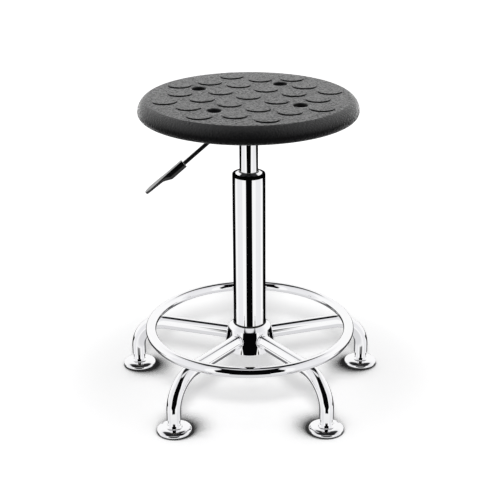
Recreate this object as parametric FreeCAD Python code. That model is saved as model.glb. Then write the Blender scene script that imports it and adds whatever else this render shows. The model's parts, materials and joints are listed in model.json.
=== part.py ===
import FreeCAD, Part
import math
import os

Vector = FreeCAD.Vector
UP = Vector(0, 0, 1)
ALONG_X = Vector(1, 0, 0)
ALONG_Y = Vector(0, 1, 0)
CENTRE = Vector(0, 0, 0)

# All sizes are in millimetres and all angles in degrees.
# The origin is where the swivel axis meets the floor, +Z is up.

# Fits: gaps between pieces that are fixed, that run, and that only come near
fixed_gap = 0.05
running_gap = 0.08
clear_gap = 0.3

# How far a cutting tool runs past what it cuts
overrun = 1.0

# Levelling feet
pad_thickness = 2.0
pad_inset = 0.8
disc_diameter = 52.0
disc_rim = 3.0
disc_dome = 3.2
dome_fullness = 0.75
neck_diameter = 19.0
neck_flare = 5.0
foot_height = 20.7
stud_diameter = 10.0
stud_length = 26.0

# Legs, bent from one round tube each
leg_count = 5
first_leg_angle = 90.0
leg_diameter = 22.0
leg_wall = 1.5
leg_bend_radius = 50.0
foot_circle_radius = 192.0
spoke_height = 83.5

# Foot ring, let into the top of the legs
ring_tube_diameter = 16.0
ring_tube_wall = 1.5
ring_radius = 155.5
ring_rise = 16.0

# Hub sleeve with a tapered bore and a sloping shoulder
hub_above_spokes = 21.5
hub_below_spokes = 20.5
hub_wall = 8.0
hub_flare = 6.0
hub_shoulder = 5.5
hub_lip = 0.8
hub_edge = 1.5

# Column tube with a domed, rolled top and a tapered foot
column_diameter = 50.0
column_wall = 1.8
column_exposed = 249.3
column_taper = 1.6
column_tail = 4.0
column_roll = 3.0
column_dome = 2.5
bush_length = 74.0
bush_neck = 1.2
bush_proud = 1.0

# Gas spring
cylinder_diameter = 28.0
cylinder_wall = 1.5
cylinder_exposed = 47.7
cylinder_below_column_top = 220.3
cylinder_taper = 0.6
valve_body_length = 30.0
valve_diameter = 5.0
valve_proud = 3.9
valve_inside = 16.0
gland_length = 25.0
gland_lip = 1.2
rod_diameter = 10.0
lift_up = 95.0
lift_down = 25.0
piston_length = 12.0
seal_width = 3.0
seal_depth = 1.6
rod_end_diameter = 7.0
piston_nut_width = 13.0
piston_nut_height = 5.0

# Thrust bearing and clip at the foot of the rod
end_plate_thickness = 3.0
end_plate_recess = 5.0
race_thickness = 2.0
race_width = 8.5
ball_count = 12
ball_diameter = 3.0
cage_thickness = 1.6
collar_height = 2.7
collar_step = 3.0
buffer_wall = 5.0
buffer_ribs = 3
buffer_groove = 1.2
clip_thickness = 1.2
clip_width = 5.0
clip_groove = 1.0
clip_washer_thickness = 1.0
rod_tail = 1.5

# Seat plate with its pressed cup, and the taper socket welded into it
seat_turn = 12.0
socket_length = 18.0
socket_wall = 4.0
socket_above_floor = 3.0
cylinder_above_socket = 1.0
plate_thickness = 2.5
plate_corner = 20.0
cup_slope = 7.0
bolt_spacing = 125.0
bolt_to_plate_edge = 13.5

# Height lever
lever_diameter = 6.0
lever_droop = 39.0
lever_bend_radius = 10.0
lever_visible = 87.0
lever_end_overhang = 2.0
pivot_from_socket = 6.0
pivot_diameter = 5.0
boss_wall = 2.5
boss_width = 8.0
bend_from_pivot = 5.8
lever_headroom = 9.2
ear_thickness = 2.0
bracket_base = 1.5
pin_head = 1.2
slot_side_gap = 2.0
handle_length = 71.0
handle_root_width = 11.5
handle_root_depth = 12.0
handle_swell = 28.0
handle_swell_width = 13.0
handle_swell_depth = 12.0
handle_step = 41.0
handle_step_width = 19.0
handle_step_depth = 5.5
handle_blade = 58.0
handle_blade_width = 23.0
handle_blade_depth = 4.4
handle_tip_turn = 70.0
handle_tip_steps = 5
handle_fullness = 0.6
handle_section_steps = 12
handle_roll = 9.0
handle_socket = 27.0

# Seat: moulded foam on a board
board_diameter = 260.0
board_thickness = 9.0
seat_diameter = 325.0
seat_thickness = 26.1
rim_under = 8.0
crease_inset = 11.7
crease_radius = 5.0
disc_pad_diameter = 35.0
disc_pad_rise = 2.2
disc_lattice = 48.5
disc_inner_ring = 102.3
disc_outer_ring = 123.5
bolt_well_diameter = 22.0

# Seat fasteners
bolt_diameter = 8.0
bolt_head_width = 13.0
bolt_head_height = 5.0
washer_diameter = 18.0
washer_thickness = 1.6
nut_height = 6.5
bolt_past_nut = 3.0

# Heights worked out from the floor upwards
leg_end = foot_height + clear_gap
bend_start = foot_circle_radius - leg_bend_radius
bend_end = spoke_height - leg_bend_radius
hub_top = spoke_height + hub_above_spokes
hub_bottom = spoke_height - hub_below_spokes
column_top = hub_top + column_exposed
column_bottom = hub_bottom - column_tail
roll_top = column_top - column_dome
socket_bottom = column_top + cylinder_exposed
socket_top = socket_bottom + socket_length
cylinder_top = socket_top + cylinder_above_socket
cylinder_bottom = column_top - cylinder_below_column_top
cup_floor = socket_top - socket_above_floor
valve_top = cylinder_top + valve_proud
lever_height = valve_top + clear_gap + lever_diameter / 2
boss_radius = pivot_diameter / 2 + boss_wall
board_bottom = lever_height + boss_radius + lever_headroom
board_top = board_bottom + board_thickness
plate_bottom = board_bottom - plate_thickness
seat_top = board_bottom + seat_thickness

# Radii and widths that several pieces share
column_radius = column_diameter / 2
cylinder_radius = cylinder_diameter / 2
cylinder_bore = cylinder_radius - cylinder_wall
rod_radius = rod_diameter / 2
socket_radius = cylinder_radius + socket_wall
pivot_reach = socket_radius + pivot_from_socket
bend_reach = pivot_reach + bend_from_pivot
cup_radius = bend_reach + lever_diameter / 2
cup_mouth = cup_radius + cup_slope
plate_width = bolt_spacing + 2 * bolt_to_plate_edge


def cylinder(radius, low, high, x=0.0, y=0.0):
    """A solid upright cylinder between two heights."""
    return Part.makeCylinder(radius, high - low, Vector(x, y, low), UP)


def tube(outer, inner, low, high, x=0.0, y=0.0):
    """An upright tube; its bore runs a little past both ends of the cut."""
    return cylinder(outer, low, high, x, y).cut(cylinder(inner, low - overrun, high + overrun, x, y))


def box(x0, x1, y0, y1, z0, z1):
    """A box between two opposite corners."""
    return Part.makeBox(x1 - x0, y1 - y0, z1 - z0, Vector(x0, y0, z0))


def turned(*outline):
    """A solid turned about the swivel axis from (radius, height) points."""
    points = [Vector(radius, 0, height) for radius, height in outline]
    face = Part.Face(Part.makePolygon(points + points[:1]))
    return face.revolve(CENTRE, UP, 360)


def turned_edges(edges):
    """A solid turned about the swivel axis from edges that close on themselves."""
    return Part.Face(Part.Wire(edges)).revolve(CENTRE, UP, 360)


def line(start, end):
    return Part.LineSegment(start, end).toShape()


def arc(start, middle, end):
    return Part.Arc(start, middle, end).toShape()


def hexagon(across, low, high, x=0.0, y=0.0):
    """A hexagonal prism, for nuts and bolt heads."""
    reach = across / 2 / math.cos(math.radians(30))
    points = []
    for side in range(7):
        angle = math.radians(60 * side)
        points.append(Vector(x + reach * math.cos(angle), y + reach * math.sin(angle), low))
    return Part.Face(Part.makePolygon(points)).extrude(Vector(0, 0, high - low))


def spun(shape, angle):
    """A copy turned about the swivel axis."""
    copy = shape.copy()
    copy.rotate(CENTRE, UP, angle)
    return copy


def column_outer(height):
    """Outer radius of the column tube: straight above the hub, tapered inside it."""
    if height >= hub_top:
        return column_radius
    return column_radius - column_taper * (hub_top - height) / (hub_top - column_bottom)


def leg_line_height(radius):
    """Height of a leg's centre line at a distance from the swivel axis."""
    if radius <= bend_start:
        return spoke_height
    across = min(radius - bend_start, leg_bend_radius)
    return bend_end + math.sqrt(leg_bend_radius ** 2 - across ** 2)


def leg_angles():
    return [first_leg_angle + 360.0 / leg_count * index for index in range(leg_count)]


# Base pieces
def base_hub():
    """Flared sleeve with a sloping shoulder; its tapered bore takes the column's foot."""
    top_bore = column_outer(hub_top) + fixed_gap
    foot_bore = column_outer(hub_bottom) + fixed_gap
    top_radius = column_radius + hub_wall
    foot_radius = top_radius + hub_flare
    return turned(
        (foot_bore, hub_bottom),
        (foot_radius - hub_edge, hub_bottom),
        (foot_radius, hub_bottom + hub_edge),
        (top_radius, hub_top - hub_shoulder),
        (top_bore + hub_lip, hub_top),
        (top_bore, hub_top),
    )


def hub_envelope():
    """The hub's outside, unbored and a weld gap larger, which shapes the leg ends."""
    top_radius = column_radius + hub_wall + fixed_gap
    foot_radius = top_radius + hub_flare
    low = hub_bottom + hub_edge
    high = hub_top - hub_shoulder
    slope = hub_flare / (high - low)
    reach = leg_diameter
    return Part.makeCone(foot_radius + slope * reach, top_radius - slope * reach,
                         high - low + 2 * reach, Vector(0, 0, low - reach), UP)


def bent_bar(radius):
    """A round bar along a leg's centre line, on the +X side."""
    start = Vector(column_radius, 0, spoke_height)
    bend_in = Vector(bend_start, 0, spoke_height)
    half = leg_bend_radius * math.sqrt(0.5)
    bend_middle = Vector(bend_start + half, 0, bend_end + half)
    bend_out = Vector(foot_circle_radius, 0, bend_end)
    foot = Vector(foot_circle_radius, 0, leg_end)
    path = Part.Wire([line(start, bend_in), arc(bend_in, bend_middle, bend_out), line(bend_out, foot)])
    section = Part.Wire(Part.makeCircle(radius, start, ALONG_X))
    return path.makePipeShell([section], True, False)


def ring_height():
    return leg_line_height(ring_radius) + ring_rise


def ring_bar(radius):
    return Part.makeTorus(ring_radius, radius, Vector(0, 0, ring_height()), UP)


def foot_ring():
    radius = ring_tube_diameter / 2
    return ring_bar(radius).cut(ring_bar(radius - ring_tube_wall))


def leg():
    """One bent tube, shaped to the hub and notched for the ring."""
    radius = leg_diameter / 2
    hollow = bent_bar(radius).cut(bent_bar(radius - leg_wall))
    return hollow.cut(hub_envelope()).cut(ring_bar(ring_tube_diameter / 2 + fixed_gap))


def leg_insert():
    """Nylon plug in the straight end of a leg, bored for the foot's stud."""
    outer = leg_diameter / 2 - leg_wall - fixed_gap
    bore = stud_diameter / 2 + running_gap
    return tube(outer, bore, leg_end, bend_end, foot_circle_radius)


def foot_profile():
    """Disc, dome and flared neck of a foot as edges about its own axis, without the stud."""
    disc = disc_diameter / 2
    neck = neck_diameter / 2
    stud = stud_diameter / 2
    rim_top = pad_thickness + disc_rim
    dome_top = rim_top + disc_dome
    flare_top = dome_top + neck_flare
    stud_top = foot_height + stud_length
    axis_low = Vector(0, 0, pad_thickness)
    rim_low = Vector(disc, 0, pad_thickness)
    rim_high = Vector(disc, 0, rim_top)
    flare_foot = Vector(neck + neck_flare, 0, dome_top)
    shoulder = Vector((disc + neck + neck_flare) / 2, 0, rim_top + disc_dome * dome_fullness)
    hollow = neck_flare * (1 - math.sqrt(0.5))
    flare_middle = Vector(neck + hollow, 0, dome_top + hollow)
    flare_head = Vector(neck, 0, flare_top)
    neck_head = Vector(neck, 0, foot_height)
    stud_foot = Vector(stud, 0, foot_height)
    stud_head = Vector(stud, 0, stud_top)
    axis_high = Vector(0, 0, stud_top)
    return [
        line(axis_low, rim_low),
        line(rim_low, rim_high),
        arc(rim_high, shoulder, flare_foot),
        arc(flare_foot, flare_middle, flare_head),
        line(flare_head, neck_head),
        line(neck_head, stud_foot),
        line(stud_foot, stud_head),
        line(stud_head, axis_high),
        line(axis_high, axis_low),
    ]


def foot_disc():
    foot = turned_edges(foot_profile())
    foot.translate(Vector(foot_circle_radius, 0, 0))
    return foot


def foot_pad():
    return cylinder(disc_diameter / 2 - pad_inset, 0, pad_thickness, foot_circle_radius)


def column_tube():
    """Tube with its top rolled in to a low dome over the bush, and its foot tapered for the hub."""
    hole = cylinder_radius + bush_neck + fixed_gap
    roll = column_roll
    inner_roll = max(roll - column_wall, fixed_gap)
    inner = column_radius - column_wall
    foot_outer = column_outer(column_bottom)
    cut = 1 - math.sqrt(0.5)
    ceiling = roll_top - column_wall
    outer_roll_start = Vector(column_radius, 0, roll_top - roll)
    outer_roll_middle = Vector(column_radius - roll * cut, 0, roll_top - roll * cut)
    outer_roll_end = Vector(column_radius - roll, 0, roll_top)
    inner_roll_start = Vector(inner - inner_roll, 0, ceiling)
    inner_roll_middle = Vector(inner - inner_roll * cut, 0, ceiling - inner_roll * cut)
    inner_roll_end = Vector(inner, 0, ceiling - inner_roll)
    hole_high = Vector(hole, 0, column_top)
    hole_low = Vector(hole, 0, column_top - column_wall)
    return turned_edges([
        line(Vector(foot_outer, 0, column_bottom), Vector(column_radius, 0, hub_top)),
        line(Vector(column_radius, 0, hub_top), outer_roll_start),
        arc(outer_roll_start, outer_roll_middle, outer_roll_end),
        line(outer_roll_end, hole_high),
        line(hole_high, hole_low),
        line(hole_low, inner_roll_start),
        arc(inner_roll_start, inner_roll_middle, inner_roll_end),
        line(inner_roll_end, Vector(inner, 0, hub_top)),
        line(Vector(inner, 0, hub_top), Vector(foot_outer - column_wall, 0, column_bottom)),
        line(Vector(foot_outer - column_wall, 0, column_bottom), Vector(foot_outer, 0, column_bottom)),
    ])


def guide_bush():
    """Sleeve that guides the gas cylinder; its neck stands a little out of the column's dome."""
    outer = column_radius - column_wall - fixed_gap
    bore = cylinder_radius + running_gap
    neck = cylinder_radius + bush_neck
    high = roll_top - column_wall - fixed_gap
    low = high - bush_length
    top = column_top + bush_proud
    chamfer = column_roll
    return turned(
        (bore, low),
        (outer, low),
        (outer, high - chamfer),
        (outer - chamfer, high),
        (neck, high),
        (neck, top),
        (bore, top),
    )


# Thrust bearing at the column's foot, from the end plate upwards
end_plate_bottom = column_bottom + end_plate_recess
end_plate_top = end_plate_bottom + end_plate_thickness
lower_race_top = end_plate_top + race_thickness
upper_race_bottom = lower_race_top + ball_diameter + 2 * fixed_gap
upper_race_top = upper_race_bottom + race_thickness
race_bore = rod_radius + running_gap
race_outer = race_bore + race_width
ball_circle = (race_bore + race_outer) / 2
ball_height = (lower_race_top + upper_race_bottom) / 2
collar_top = upper_race_top + collar_height
buffer_top = cylinder_bottom - gland_lip - lift_down - clear_gap


def column_end_plate():
    outer = column_outer(end_plate_bottom) - column_wall - fixed_gap
    return tube(outer, race_bore, end_plate_bottom, end_plate_top)


def bearing_lower_race():
    return tube(race_outer, race_bore, end_plate_top, lower_race_top)


def bearing_upper_race():
    return tube(race_outer, rod_radius + fixed_gap, upper_race_bottom, upper_race_top)


def ball_places():
    places = []
    for index in range(ball_count):
        angle = math.radians(360.0 / ball_count * index)
        places.append((ball_circle * math.cos(angle), ball_circle * math.sin(angle)))
    return places


def bearing_balls():
    balls = [Part.makeSphere(ball_diameter / 2, Vector(x, y, ball_height)) for x, y in ball_places()]
    return Part.makeCompound(balls)


def bearing_cage():
    low = ball_height - cage_thickness / 2
    high = ball_height + cage_thickness / 2
    cage = tube(race_outer - clear_gap, race_bore + clear_gap, low, high)
    for x, y in ball_places():
        pocket = cylinder(ball_diameter / 2 + fixed_gap, low - overrun, high + overrun, x, y)
        cage = cage.cut(pocket)
    return cage


# Gas spring
gland_top = cylinder_bottom + gland_length
piston_bottom = gland_top + lift_up + clear_gap
piston_top = piston_bottom + piston_length
clip_washer_top = end_plate_bottom - fixed_gap
clip_washer_bottom = clip_washer_top - clip_washer_thickness
clip_top = clip_washer_bottom - fixed_gap
clip_bottom = clip_top - clip_thickness
rod_bottom = clip_bottom - rod_tail


def piston_rod():
    """Rod with a clip groove, a collar on the bearing and a stepped end for the piston."""
    collar = rod_radius + collar_step
    groove = rod_radius - clip_groove
    end = rod_end_diameter / 2
    rod_top = piston_top + piston_nut_height + bolt_past_nut
    return turned(
        (0, rod_bottom),
        (rod_radius, rod_bottom),
        (rod_radius, clip_bottom - fixed_gap),
        (groove, clip_bottom - fixed_gap),
        (groove, clip_top + fixed_gap),
        (rod_radius, clip_top + fixed_gap),
        (rod_radius, upper_race_top),
        (collar, upper_race_top),
        (collar, collar_top),
        (rod_radius, collar_top),
        (rod_radius, piston_bottom),
        (end, piston_bottom),
        (end, rod_top),
        (0, rod_top),
    )


def rod_clip():
    """Open ring in the rod's groove, under the end plate."""
    inner = rod_radius - clip_groove + fixed_gap
    ring = tube(rod_radius + clip_width, inner, clip_bottom, clip_top)
    mouth = box(0, rod_radius + clip_width, -inner, inner, clip_bottom, clip_top)
    return ring.cut(mouth)


def clip_washer():
    return tube(rod_radius + clip_width, rod_radius + fixed_gap, clip_washer_bottom, clip_washer_top)


def rod_buffer():
    """Rubber buffer round the rod, waisted by grooves."""
    outer = rod_radius + buffer_wall
    sleeve = tube(outer, rod_radius + fixed_gap, collar_top, buffer_top)
    step = (buffer_top - collar_top) / (buffer_ribs + 1)
    for index in range(1, buffer_ribs + 1):
        height = collar_top + step * index
        sleeve = sleeve.cut(Part.makeTorus(outer, buffer_groove, Vector(0, 0, height), UP))
    return sleeve


def piston():
    outer = cylinder_bore - running_gap
    middle = (piston_bottom + piston_top) / 2
    bore = rod_end_diameter / 2 + fixed_gap
    body = tube(outer, bore, piston_bottom, piston_top)
    half = seal_width / 2 + fixed_gap
    return body.cut(tube(outer + overrun, outer - seal_depth, middle - half, middle + half))


def piston_seal():
    outer = cylinder_bore - running_gap
    middle = (piston_bottom + piston_top) / 2
    half = seal_width / 2
    return tube(outer, outer - seal_depth + fixed_gap, middle - half, middle + half)


def piston_nut():
    high = piston_top + piston_nut_height
    nut = hexagon(piston_nut_width, piston_top, high)
    return nut.cut(cylinder(rod_end_diameter / 2 + fixed_gap, piston_top - overrun, high + overrun))


def taper_radius(height):
    """Outer radius of the gas cylinder, which tapers inside the socket."""
    if height <= socket_bottom:
        return cylinder_radius
    return cylinder_radius - cylinder_taper * (height - socket_bottom) / (cylinder_top - socket_bottom)


def gas_cylinder():
    return turned(
        (cylinder_bore, cylinder_bottom),
        (cylinder_radius, cylinder_bottom),
        (cylinder_radius, socket_bottom),
        (taper_radius(cylinder_top), cylinder_top),
        (cylinder_bore, cylinder_top),
    )


def cylinder_gland():
    """Seal and rod guide in the open end of the cylinder, with a lip below it."""
    outer = cylinder_bore - fixed_gap
    lip = cylinder_radius - running_gap
    bore = rod_radius + running_gap
    return turned(
        (bore, cylinder_bottom - gland_lip),
        (lip, cylinder_bottom - gland_lip),
        (lip, cylinder_bottom),
        (outer, cylinder_bottom),
        (outer, gland_top),
        (bore, gland_top),
    )


def valve_body():
    outer = cylinder_bore - fixed_gap
    bore = valve_diameter / 2 + running_gap
    low = cylinder_top - valve_body_length
    return tube(outer, bore, low, cylinder_top)


def valve_pin():
    """Release button with a rounded head."""
    radius = valve_diameter / 2
    pin = cylinder(radius, cylinder_top - valve_inside, valve_top - radius)
    return pin.fuse(Part.makeSphere(radius, Vector(0, 0, valve_top - radius))).removeSplitter()


# Seat plate, socket and lever, built with the lever along -X and turned at the end
def bolt_places():
    half = bolt_spacing / 2
    return [(x, y) for x in (-half, half) for y in (-half, half)]


def taper_socket():
    return turned(
        (taper_radius(socket_bottom) + fixed_gap, socket_bottom),
        (socket_radius, socket_bottom),
        (socket_radius, socket_top),
        (taper_radius(socket_top) + fixed_gap, socket_top),
    )


def seat_plate():
    """Square plate with rounded corners and a pressed cup that holds socket and lever."""
    half = plate_width / 2
    flange = box(-half, half, -half, half, plate_bottom, board_bottom)
    corners = [edge for edge in flange.Edges if abs(edge.tangentAt(edge.FirstParameter).z) > 0.5]
    flange = flange.makeFillet(plate_corner, corners)
    floor_bottom = cup_floor - plate_thickness
    outside = Part.makeCone(cup_radius + plate_thickness, cup_mouth + plate_thickness,
                            board_bottom - floor_bottom, Vector(0, 0, floor_bottom), UP)
    inside = Part.makeCone(cup_radius, cup_mouth, board_bottom - cup_floor, Vector(0, 0, cup_floor), UP)
    plate = flange.fuse(outside).cut(inside)
    plate = plate.cut(cylinder(socket_radius + fixed_gap, floor_bottom - overrun, cup_floor + overrun))
    side = lever_diameter / 2 + slot_side_gap
    slot = box(-cup_mouth - 2 * plate_thickness, -bend_reach, -side, side,
               floor_bottom - overrun, plate_bottom)
    plate = plate.cut(slot)
    for x, y in bolt_places():
        hole = cylinder(bolt_diameter / 2 + clear_gap, plate_bottom - overrun, board_bottom + overrun, x, y)
        plate = plate.cut(hole)
    return plate.removeSplitter()


def lever_bracket():
    """Two ears on a foot plate, standing on the cup's floor and holding the pivot pin."""
    inner = boss_width / 2 + clear_gap
    outer = inner + ear_thickness
    near = -socket_radius - clear_gap
    far = -pivot_reach - boss_radius
    foot_top = cup_floor + bracket_base
    ear_top = lever_height + boss_radius
    bracket = box(far, near, -outer, outer, cup_floor, foot_top)
    for y0, y1 in ((-outer, -inner), (inner, outer)):
        bracket = bracket.fuse(box(far, near, y0, y1, foot_top, ear_top))
    hole = Part.makeCylinder(pivot_diameter / 2 + fixed_gap, 2 * (outer + overrun),
                             Vector(-pivot_reach, -outer - overrun, lever_height), ALONG_Y)
    return bracket.cut(hole).removeSplitter()


def lever_pin():
    """Pivot pin with a flat head at each end."""
    ears = boss_width / 2 + clear_gap + ear_thickness
    radius = pivot_diameter / 2
    shank = Part.makeCylinder(radius, 2 * ears, Vector(-pivot_reach, -ears, lever_height), ALONG_Y)
    for y in (-ears - pin_head, ears):
        head = Part.makeCylinder(radius + pin_head, pin_head, Vector(-pivot_reach, y, lever_height), ALONG_Y)
        shank = shank.fuse(head)
    return shank.removeSplitter()


def droop_point(distance, offset=0.0):
    """A point on the drooping part of the lever, at a distance from the bend."""
    angle = math.radians(lever_droop)
    x = -bend_reach - distance * math.cos(angle) - offset * math.sin(angle)
    z = lever_height - distance * math.sin(angle) + offset * math.cos(angle)
    return Vector(x, 0, z)


def droop_direction():
    angle = math.radians(lever_droop)
    return Vector(-math.cos(angle), 0, -math.sin(angle))


def lever_rod():
    """Round rod from above the valve, through its pivot boss, bent down to the handle."""
    radius = lever_diameter / 2
    tangent = lever_bend_radius * math.tan(math.radians(lever_droop / 2))
    half_turn = math.radians(lever_droop / 2)
    start = Vector(lever_end_overhang, 0, lever_height)
    bend_in = Vector(-bend_reach + tangent, 0, lever_height)
    bend_out = droop_point(tangent)
    centre_z = lever_height - lever_bend_radius
    bend_middle = Vector(bend_in.x - lever_bend_radius * math.sin(half_turn), 0,
                         centre_z + lever_bend_radius * math.cos(half_turn))
    end = droop_point(lever_visible + handle_socket - clear_gap)
    path = Part.Wire([line(start, bend_in), arc(bend_in, bend_middle, bend_out), line(bend_out, end)])
    section = Part.Wire(Part.makeCircle(radius, start, ALONG_X))
    rod = path.makePipeShell([section], True, False)
    boss_start = Vector(-pivot_reach, -boss_width / 2, lever_height)
    rod = rod.fuse(Part.makeCylinder(boss_radius, boss_width, boss_start, ALONG_Y))
    bore_start = Vector(-pivot_reach, -boss_width, lever_height)
    bore = Part.makeCylinder(pivot_diameter / 2 + running_gap, 2 * boss_width, bore_start, ALONG_Y)
    return rod.cut(bore).removeSplitter()


def handle_section(distance, width, depth):
    """A flat top with a full half oval under it, across the lever at a distance from the bend."""
    under = []
    for step in range(handle_section_steps + 1):
        turn = math.pi * step / handle_section_steps
        down = depth * abs(math.sin(turn)) ** handle_fullness
        side = math.copysign(width / 2 * abs(math.cos(turn)) ** handle_fullness, math.cos(turn))
        under.append(droop_point(distance, handle_root_depth / 2 - down) + ALONG_Y * side)
    curve = Part.BSplineCurve()
    curve.interpolate(under)
    return Part.Wire([curve.toShape(), line(under[-1], under[0])])


def handle_stations():
    """Distance, width and depth of the grip's sections: straight boss, sloping step, rounded blade."""
    stations = [
        (0.0, handle_root_width, handle_root_depth),
        (handle_swell, handle_swell_width, handle_swell_depth),
        (handle_step, handle_step_width, handle_step_depth),
        (handle_blade, handle_blade_width, handle_blade_depth),
    ]
    tip = (handle_length - handle_blade) / math.sin(math.radians(handle_tip_turn))
    for step in range(1, handle_tip_steps + 1):
        turn = math.radians(handle_tip_turn * step / handle_tip_steps)
        stations.append((handle_blade + tip * math.sin(turn), handle_blade_width * math.cos(turn),
                         handle_blade_depth))
    return stations


def lever_handle():
    """Paddle grip: a deep boss where the rod enters, then a thin, wider blade."""
    sections = []
    for distance, width, depth in handle_stations():
        sections.append(handle_section(lever_visible + distance, width, depth))
    root = droop_point(lever_visible)
    grip = Part.makeLoft(sections, True, True)
    grip.rotate(root, droop_direction(), handle_roll)
    bore = Part.makeCylinder(lever_diameter / 2 + fixed_gap, handle_socket, root, droop_direction())
    return grip.cut(bore)


# Seat
def seat_board():
    board = cylinder(board_diameter / 2, board_bottom, board_top)
    for x, y in bolt_places():
        hole = cylinder(bolt_diameter / 2 + clear_gap, board_bottom - overrun, board_top + overrun, x, y)
        board = board.cut(hole)
    return board


def seat_outline():
    """Half section of the moulded seat: rolled under, bulging rim, soft crease, flat top."""
    radius = seat_diameter / 2
    rise = seat_thickness - rim_under
    bulge = (crease_inset ** 2 + rise ** 2) / (2 * crease_inset)
    widest = board_bottom + rim_under
    bulge_x = radius - bulge
    blend_x = bulge_x + math.sqrt((bulge - crease_radius) ** 2 - (rise - crease_radius) ** 2)
    blend_z = seat_top - crease_radius
    blend_angle = math.atan2(blend_z - widest, blend_x - bulge_x)
    top_angle = (blend_angle + math.pi / 2) / 2
    under = math.radians(45)

    def around(x, z, size, angle):
        return Vector(x + size * math.cos(angle), 0, z + size * math.sin(angle))

    centre_low = Vector(0, 0, board_bottom)
    under_start = Vector(radius - rim_under, 0, board_bottom)
    under_middle = around(radius - rim_under, widest, rim_under, -under)
    rim = Vector(radius, 0, widest)
    bulge_middle = around(bulge_x, widest, bulge, blend_angle / 2)
    bulge_end = around(bulge_x, widest, bulge, blend_angle)
    crease_middle = around(blend_x, blend_z, crease_radius, top_angle)
    crease_end = Vector(blend_x, 0, seat_top)
    centre_high = Vector(0, 0, seat_top)
    return [
        line(centre_low, under_start),
        arc(under_start, under_middle, rim),
        arc(rim, bulge_middle, bulge_end),
        arc(bulge_end, crease_middle, crease_end),
        line(crease_end, centre_high),
        line(centre_high, centre_low),
    ]


def disc_places():
    """Centres of the raised discs: a three by three lattice and two rings round it."""
    places = [(0.0, 0.0)]
    for index in range(4):
        places.append((disc_lattice, 45.0 + 90 * index))
        places.append((disc_lattice * math.sqrt(2), 90.0 * index))
    for index in range(8):
        places.append((disc_inner_ring, 22.5 + 45 * index))
        places.append((disc_outer_ring, 45.0 * index))
    return [(reach * math.cos(math.radians(turn)), reach * math.sin(math.radians(turn)))
            for reach, turn in places]


def seat_pad():
    """Moulded foam seat with raised discs, bolt wells and a recess for the board."""
    pad = turned_edges(seat_outline())
    recess = cylinder(board_diameter / 2 + fixed_gap, board_bottom - overrun, board_top + fixed_gap)
    pad = pad.cut(recess)
    discs = [cylinder(disc_pad_diameter / 2, seat_top - disc_pad_rise, seat_top + disc_pad_rise, x, y)
             for x, y in disc_places()]
    pad = pad.fuse(discs)
    for x, y in bolt_places():
        well = cylinder(bolt_well_diameter / 2, board_top - overrun, seat_top + disc_pad_rise + overrun, x, y)
        pad = pad.cut(well)
    return pad.removeSplitter()


def seat_washers():
    bore = bolt_diameter / 2 + clear_gap
    top = board_top + washer_thickness
    washers = [tube(washer_diameter / 2, bore, board_top, top, x, y) for x, y in bolt_places()]
    return Part.makeCompound(washers)


def seat_bolts():
    """Hexagon bolts, heads down in the wells, shanks through board and plate."""
    head_low = board_top + washer_thickness
    shank_low = plate_bottom - nut_height - bolt_past_nut
    bolts = []
    for x, y in bolt_places():
        head = hexagon(bolt_head_width, head_low, head_low + bolt_head_height, x, y)
        bolts.append(head.fuse(cylinder(bolt_diameter / 2, shank_low, head_low, x, y)).removeSplitter())
    return Part.makeCompound(bolts)


def seat_nuts():
    low = plate_bottom - nut_height
    nuts = []
    for x, y in bolt_places():
        bore = cylinder(bolt_diameter / 2 + fixed_gap, low - overrun, plate_bottom + overrun, x, y)
        nuts.append(hexagon(bolt_head_width, low, plate_bottom, x, y).cut(bore))
    return Part.makeCompound(nuts)


FIXED_PIECES = {
    "base_hub": base_hub,
    "foot_ring": foot_ring,
    "column_tube": column_tube,
    "column_end_plate": column_end_plate,
    "guide_bush": guide_bush,
    "bearing_lower_race": bearing_lower_race,
    "bearing_upper_race": bearing_upper_race,
    "bearing_balls": bearing_balls,
    "bearing_cage": bearing_cage,
    "piston_rod": piston_rod,
    "rod_clip": rod_clip,
    "clip_washer": clip_washer,
    "rod_buffer": rod_buffer,
    "piston": piston,
    "piston_seal": piston_seal,
    "piston_nut": piston_nut,
    "gas_cylinder": gas_cylinder,
    "cylinder_gland": cylinder_gland,
    "valve_body": valve_body,
    "valve_pin": valve_pin,
}

TURNED_PIECES = {
    "taper_socket": taper_socket,
    "seat_plate": seat_plate,
    "lever_bracket": lever_bracket,
    "lever_pin": lever_pin,
    "lever_rod": lever_rod,
    "lever_handle": lever_handle,
    "seat_board": seat_board,
    "seat_pad": seat_pad,
    "seat_washers": seat_washers,
    "seat_bolts": seat_bolts,
    "seat_nuts": seat_nuts,
}

LEG_PIECES = {
    "leg": leg,
    "leg_insert": leg_insert,
    "foot_disc": foot_disc,
    "foot_pad": foot_pad,
}


def save(name, shape):
    shape.exportStep("parts/" + name + ".step")
    print(name, "solids", len(shape.Solids), "valid", shape.isValid(), "volume", round(shape.Volume, 1))


os.makedirs("parts", exist_ok=True)
for name, make in FIXED_PIECES.items():
    save(name, make())
for name, make in TURNED_PIECES.items():
    save(name, spun(make(), seat_turn))
for name, make in LEG_PIECES.items():
    piece = make()
    for number, angle in enumerate(leg_angles(), 1):
        save(name + "_" + str(number), spun(piece, angle))
print("seat top", round(seat_top, 2), "lever", round(lever_height, 2), "pivot reach", round(pivot_reach, 2))
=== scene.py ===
# %% [markdown]
# # A gas-lift stool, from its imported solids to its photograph
# The solids of the stool come first: they hold every size, and nothing here changes them.
# The looks are built round them: a studio, the finishes, the chrome tubes in finer form and the soft seat.
# Each cell below makes one thing and prints what it made.

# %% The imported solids
import json
import math

import bmesh
import bpy
from mathutils import Matrix, Vector


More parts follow.
